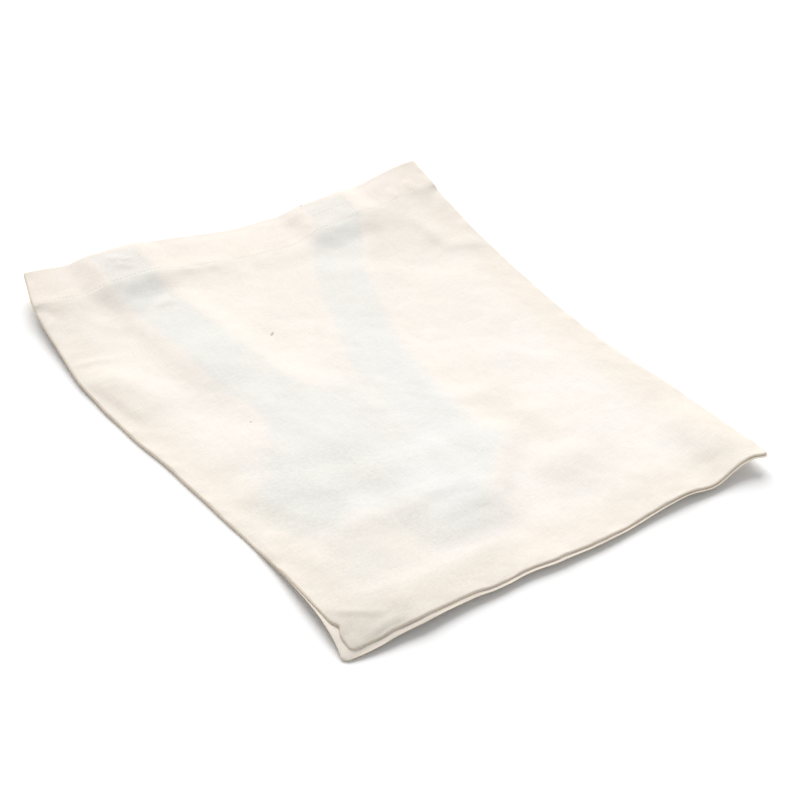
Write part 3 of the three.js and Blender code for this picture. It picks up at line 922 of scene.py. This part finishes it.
# The rings of a thread: their places along it, their radii, and their heights in thread radii
THREAD_RINGS = np.array((0.0, 0.18, 0.5, 0.82, 1.0))
THREAD_ROUND = THREAD_RADIUS * np.array((0.35, 0.9, 1.0, 0.9, 0.35))
THREAD_RISE = np.array((-0.9, -0.1, 0.25, -0.1, -0.9))


def thread_faces():
    """The faces of one thread: its sides from ring to ring, and its two ends."""
    faces = []
    last = (len(THREAD_RINGS) - 1) * THREAD_SIDES
    for low in range(0, last, THREAD_SIDES):
        high = low + THREAD_SIDES
        for s in range(THREAD_SIDES):
            n = (s + 1) % THREAD_SIDES
            faces.append((low + s, low + n, high + n, high + s))
    faces.append(tuple(reversed(range(THREAD_SIDES))))
    faces.append(tuple(range(last, last + THREAD_SIDES)))
    return faces


def stitches(name, lines, heights, side):
    """Short threads along lines in cut coordinates, lying on one side of a cloth."""
    points, faces = [], []
    one = thread_faces()
    for line in lines:
        line = np.array(line, float)
        walked = np.r_[0, np.cumsum(np.linalg.norm(np.diff(line, axis=0), axis=1))]
        count = max(1, int(round(walked[-1] / THREAD_PITCH)))
        pitch = walked[-1] / count
        for k in range(count):
            at = k * pitch + THREAD_GAP / 2 + (pitch - THREAD_GAP) * THREAD_RINGS
            across = np.interp(at, walked, line[:, 0])
            along = np.interp(at, walked, line[:, 1])
            x, y = lay_edges(across, along)
            z = heights(across, along)[0 if side > 0 else 1] + side * THREAD_RADIUS * THREAD_RISE
            spine = np.stack([x, y, np.maximum(z, THREAD_RADIUS)], -1)
            heading = spine[-1] - spine[0]
            heading /= np.linalg.norm(heading)
            flat = np.cross(heading, (0, 0, 1.0))
            flat /= np.linalg.norm(flat)
            rise = np.cross(flat, heading)
            turn = np.arange(THREAD_SIDES) * 2 * math.pi / THREAD_SIDES
            ring = np.cos(turn)[:, None] * flat + np.sin(turn)[:, None] * rise
            base = len(points) * THREAD_SIDES * len(THREAD_RINGS)
            points.append((spine[:, None, :] + THREAD_ROUND[:, None, None] * ring[None]).reshape(-1, 3))
            faces.extend(tuple(base + corner for corner in face) for face in one)
    return make_mesh(name, np.vstack(points), faces)


def hem_line():
    """The hem's stitch line, from just inside one side to just inside the other."""
    across = np.linspace(-BAG_WIDTH / 2 + 1, BAG_WIDTH / 2 - 1, 120)
    return np.stack([across, BAG_LENGTH / 2 - hem_inset(across)], -1)


def seat_box(left, right):
    """The stitch line round a handle's seat."""
    low, high = SEAT_BOX_LOW, SEAT_BOX_HIGH
    return [(left, low), (left, high), (right, high), (right, low), (left, low)]


SEAMS = [hem_line(), seat_box(*LEFT_SEAT_BOX), seat_box(*RIGHT_SEAT_BOX)]

upper_stitches = stitches("upper_stitches", SEAMS, upper_heights, 1)
lower_stitches = stitches("lower_stitches", SEAMS, lower_heights, -1)


# Materials

def add(tree, kind, inputs=None, **settings):
    """A node with its settings. An input takes a socket's link or a constant."""
    node = tree.nodes.new(kind)
    for key, value in settings.items():
        setattr(node, key, value)
    for key, value in (inputs or {}).items():
        if isinstance(value, bpy.types.NodeSocket):
            tree.links.new(value, node.inputs[key])
        else:
            node.inputs[key].default_value = value
    return node


def calc(tree, operation, a, b=0.0, c=0.0):
    return add(tree, "ShaderNodeMath", {0: a, 1: b, 2: c}, operation=operation).outputs[0]


def blend(tree, factor, a, b, mode="MIX"):
    """Two colours mixed by a factor."""
    node = add(tree, "ShaderNodeMix", data_type="RGBA", blend_type=mode)
    for index, value in ((0, factor), (6, a), (7, b)):
        if isinstance(value, bpy.types.NodeSocket):
            tree.links.new(value, node.inputs[index])
        else:
            node.inputs[index].default_value = value
    return node.outputs[2]


def tinted(tree, factor, paint, tint):
    """A paint that takes a tint by a factor."""
    return blend(tree, factor, paint, blend(tree, 1.0, paint, (*tint, 1), "MULTIPLY"))


def noise(tree, coordinates, scale, detail=2.0, roughness=0.5, stretch=(1, 1, 1)):
    scaled = add(tree, "ShaderNodeMapping", {"Vector": coordinates, "Scale": stretch}).outputs[0]
    return add(tree, "ShaderNodeTexNoise",
               {"Vector": scaled, "Scale": scale, "Detail": detail, "Roughness": roughness}).outputs[0]


def ramp(tree, value, low, high):
    """0 to 1 as a value goes from low to high."""
    return add(tree, "ShaderNodeMapRange", {"Value": value, 1: low, 2: high}, clamp=True).outputs[0]


def new_material(name, finish):
    """A material whose shader has the given finish."""
    material = bpy.data.materials.new(name)
    material.use_nodes = True
    shader = material.node_tree.nodes["Principled BSDF"]
    for key, value in finish.items():
        shader.inputs[key].default_value = value
    return material, material.node_tree, shader


COTTON_FINISH = {
    "Roughness": 0.93, "Specular IOR Level": 0.12, "Sheen Weight": 0.06, "Sheen Roughness": 0.6,
}
THREAD_FINISH = {"Roughness": 0.75, "Specular IOR Level": 0.2}

# Slubs run along a yarn: how fine they are across it and how long along it, in cells a metre
SLUB_ACROSS = 950
SLUB_ALONG = 60

# How much of each pattern goes into the tone, and into the relief in millimetres
SLUB_TONE = 0.09
GRAIN_TONE = 0.10
WEAVE_TONE = 0.015
WEAVE_RELIEF = 0.035
SLUB_RELIEF = 0.10
CRUMPLE_RELIEF = 0.45
MOTTLE_TINT = (1.006, 0.996, 0.984)

# Seed flecks: cells a metre, size in a cell, how few cells are chosen, and strength
FLECKS = ((320, 0.10, 0.60, 0.55), (700, 0.16, 0.56, 0.28))
FLECK_COLOUR = (0.42, 0.30, 0.19, 1)
SPOT_COLOUR = (0.34, 0.25, 0.16, 1)

# How each mask of a cloth tints it, and whether the tint is speckled. The close and edge tints are
# painted shade.
TINTS = (
    ("strap_shows", True, (0.93, 0.974, 1.0)),
    # painted shade where the upper cloth lies close
    ("close", True, (0.89, 0.89, 0.878)),
    ("doubled", False, (1.022, 1.01, 1.008)),
    ("warm", False, (0.978, 0.958, 0.922)),
    # painted shade at the sewn edges, browner
    ("edge", False, (0.95, 0.905, 0.83)),
)


def cotton(name, colour, weave_pitch, mottle, flecks=False, spots=()):
    """Plain-weave cotton: crossing yarns with slubs, soft mottling, and seed flecks. Noises have their
    scales in cells a metre."""
    material, tree, shader = new_material(name, COTTON_FINISH)
    where = add(tree, "ShaderNodeUVMap", uv_map="cloth").outputs[0]
    parts = add(tree, "ShaderNodeSeparateXYZ", {0: where})
    across = calc(tree, "MULTIPLY", parts.outputs[0], math.pi / weave_pitch)
    along = calc(tree, "MULTIPLY", parts.outputs[1], math.pi / weave_pitch)
    crossing = calc(tree, "MULTIPLY", calc(tree, "SINE", across), calc(tree, "SINE", along))
    warp_slub = noise(tree, where, 1, 2, 0.6, (SLUB_ACROSS, SLUB_ALONG, 1))
    weft_slub = noise(tree, where, 1, 2, 0.6, (SLUB_ALONG, SLUB_ACROSS, 1))
    broad = noise(tree, where, 22, 3, 0.55)
    patchy = noise(tree, where, 120, 3, 0.6)
    grain = noise(tree, where, 520, 2, 0.6)

    yarns = calc(tree, "ADD", warp_slub, weft_slub)
    tone = 1.0
    patterns = (
        (yarns, 1.0, SLUB_TONE),
        (grain, 0.5, GRAIN_TONE),
        (broad, 0.5, 2 * mottle),
        (patchy, 0.5, 1.4 * mottle),
    )
    for pattern, middle, amount in patterns:
        tone = calc(tree, "MULTIPLY_ADD", calc(tree, "SUBTRACT", pattern, middle), amount, tone)
    tone = calc(tree, "MULTIPLY_ADD", crossing, WEAVE_TONE, tone)
    grey = add(tree, "ShaderNodeCombineColor", {0: tone, 1: tone, 2: tone}).outputs[0]
    paint = blend(tree, 1.0, (*colour, 1), grey, "MULTIPLY")
    warm = ramp(tree, noise(tree, where, 34, 2), 0.35, 0.65)
    paint = tinted(tree, warm, paint, MOTTLE_TINT)
    speckle = ramp(tree, noise(tree, where, 300, 3, 0.7), 0.35, 0.65)
    speckle = calc(tree, "MULTIPLY_ADD", speckle, 0.7, 0.65)
    for mask, speckled, tint in TINTS:
        shows = add(tree, "ShaderNodeAttribute", attribute_name=mask).outputs["Fac"]
        if speckled:
            shows = calc(tree, "MULTIPLY", shows, speckle)
        paint = tinted(tree, shows, paint, tint)
    for cell, size, low, strength in FLECKS if flecks else ():
        seeds = add(tree, "ShaderNodeTexVoronoi", {"Vector": where, "Scale": cell, "Randomness": 1.0})
        chosen = ramp(tree, noise(tree, where, 0.7 * cell, 0), low, low + 0.12)
        dot = ramp(tree, seeds.outputs["Distance"], size, 0.4 * size)
        fleck = calc(tree, "MULTIPLY", calc(tree, "MULTIPLY", dot, chosen), strength)
        paint = blend(tree, fleck, paint, FLECK_COLOUR)
    for spot_across, spot_along, turn, length, width, strength in spots:
        frame_of_spot = {
            "Vector": where,
            "Location": (spot_across * MM, spot_along * MM, 0),
            "Rotation": (0, 0, math.radians(turn)),
            "Scale": (length * MM / 2, width * MM / 2, 1),
        }
        moved = add(tree, "ShaderNodeMapping", frame_of_spot, vector_type="TEXTURE").outputs[0]
        away = add(tree, "ShaderNodeVectorMath", {0: moved}, operation="LENGTH").outputs["Value"]
        shows = calc(tree, "MULTIPLY", ramp(tree, away, 1.0, 0.5), strength)
        paint = blend(tree, shows, paint, SPOT_COLOUR)
    tree.links.new(paint, shader.inputs["Base Color"])

    crumple = noise(tree, where, 95, 4, 0.55)
    height = calc(tree, "MULTIPLY", crossing, WEAVE_RELIEF)
    height = calc(tree, "MULTIPLY_ADD", yarns, SLUB_RELIEF, height)
    height = calc(tree, "MULTIPLY_ADD", crumple, CRUMPLE_RELIEF, height)
    bump = add(tree, "ShaderNodeBump", {"Strength": 1.0, "Distance": MM, "Height": height})
    tree.links.new(bump.outputs[0], shader.inputs["Normal"])
    return material


CREAM = (0.882, 0.837, 0.787)
WHITE = (0.86, 0.875, 0.85)
THREAD = (0.885, 0.86, 0.81)

# Dark spots painted on the upper cloth, the first two seed flecks: across, along, turn in degrees,
# length, width and strength
SPOTS = [(-36, 83, 40, 7, 2, 0.65), (-112, 1, 0, 1.8, 1.4, 0.8), (65, 223, 60, 2.2, 1.6, 0.8)]

# The weaves' pitches in metres, and how strongly the cloths are mottled
PANEL_WEAVE = 0.00055
STRAP_WEAVE = 0.0007
PANEL_MOTTLE = 0.03
STRAP_MOTTLE = 0.02

cream_cotton = cotton("cream_cotton", CREAM, PANEL_WEAVE, PANEL_MOTTLE, flecks=True, spots=SPOTS)
cream_cotton_back = cotton("cream_cotton_back", CREAM, PANEL_WEAVE, PANEL_MOTTLE, flecks=True)
white_cotton = cotton("white_cotton", WHITE, STRAP_WEAVE, STRAP_MOTTLE)


def thread_material():
    material, tree, shader = new_material("cotton_thread", THREAD_FINISH)
    where = add(tree, "ShaderNodeTexCoord").outputs["Object"]
    twist = noise(tree, where, 900, 2)
    tone = calc(tree, "MULTIPLY_ADD", twist, 0.16, 0.92)
    shade = add(tree, "ShaderNodeCombineColor", {0: tone, 1: tone, 2: tone}).outputs[0]
    tree.links.new(blend(tree, 1.0, (*THREAD, 1), shade, "MULTIPLY"), shader.inputs["Base Color"])
    bump = add(tree, "ShaderNodeBump", {"Strength": 0.6, "Distance": 0.0001, "Height": twist})
    tree.links.new(bump.outputs[0], shader.inputs["Normal"])
    return material


thread = thread_material()

DRESS = [
    (upper_cloth, cream_cotton, "cream_cotton", "upper_panel"),
    (lower_cloth, cream_cotton_back, "cream_cotton", "lower_panel"),
    (upper_strap, white_cotton, "white_cotton", "handle_upper"),
    (lower_strap, white_cotton, "white_cotton", "handle_lower"),
    (upper_stitches, thread, "cream_cotton", None),
    (lower_stitches, thread, "cream_cotton", None),
]
for piece, material, slot, node in DRESS:
    piece.data.materials.append(material)
    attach(piece, "root")
    if node:
        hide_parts(node)


# Floor, light and camera, in metres but for the camera's place

FLOOR_REACH = 20.0
FLOOR_FINISH = {"Base Color": (0.96, 0.96, 0.96, 1), "Roughness": 1.0, "Specular IOR Level": 0.0}
WORLD_STRENGTH = 0.45
KEY_PLACE = (0.65, 1.6, 1.7)
KEY_SPREAD = 50
KEY_POWER = 3.02


def make_floor():
    corners = [(-1, -1), (1, -1), (1, 1), (-1, 1)]
    mesh = bpy.data.meshes.new("floor")
    mesh.from_pydata([(FLOOR_REACH * x, FLOOR_REACH * y, 0) for x, y in corners], [], [(0, 1, 2, 3)])
    mesh.materials.append(new_material("floor_white", FLOOR_FINISH)[0])
    new_object("floor", mesh)


def make_key_light():
    """A broad far light that shines from its place on the bag's middle."""
    lamp = bpy.data.lights.new("key", "SUN")
    lamp.angle = math.radians(KEY_SPREAD)
    lamp.energy = KEY_POWER
    light = new_object("key", lamp)
    light.location = KEY_PLACE
    light.rotation_euler = (-Vector(KEY_PLACE)).to_track_quat("-Z", "Y").to_euler()


def make_world():
    world = bpy.data.worlds.new("studio")
    world.use_nodes = True
    background = world.node_tree.nodes["Background"]
    background.inputs[0].default_value = (1.0, 1.0, 1.0, 1)
    background.inputs[1].default_value = WORLD_STRENGTH
    bpy.context.scene.world = world


# The photograph's camera: its place in millimetres, its angles in degrees, its focal length in pixels
CAMERA_PLACE = Vector((-650.719, -793.458, 809.862))
CAMERA_AZIMUTH = -40.47
CAMERA_ELEVATION = 38.792
CAMERA_ROLL = 7.483
CAMERA_FOCAL = 1700
IMAGE_WIDTH = 800
SENSOR = 36


def make_camera():
    angles = (CAMERA_AZIMUTH, CAMERA_ELEVATION, CAMERA_ROLL)
    azimuth, elevation, roll = (math.radians(angle) for angle in angles)
    level = math.cos(elevation)
    forward = Vector((-math.sin(azimuth) * level, math.cos(azimuth) * level, -math.sin(elevation)))
    right = forward.cross(Vector((0, 0, 1))).normalized()
    up = right.cross(forward)
    side = math.cos(roll) * right + math.sin(roll) * up
    top = math.cos(roll) * up - math.sin(roll) * right
    lens = bpy.data.cameras.new("camera")
    lens.sensor_width = SENSOR
    lens.lens = CAMERA_FOCAL * SENSOR / IMAGE_WIDTH
    lens.clip_start = 0.01
    camera = new_object("camera", lens)
    turn = Matrix((side, top, -forward)).transposed()
    camera.matrix_world = Matrix.Translation(CAMERA_PLACE * MM) @ turn.to_4x4()
    bpy.context.scene.camera = camera


make_floor()
make_world()
make_key_light()
make_camera()
bpy.context.scene.view_settings.view_transform = "Standard"
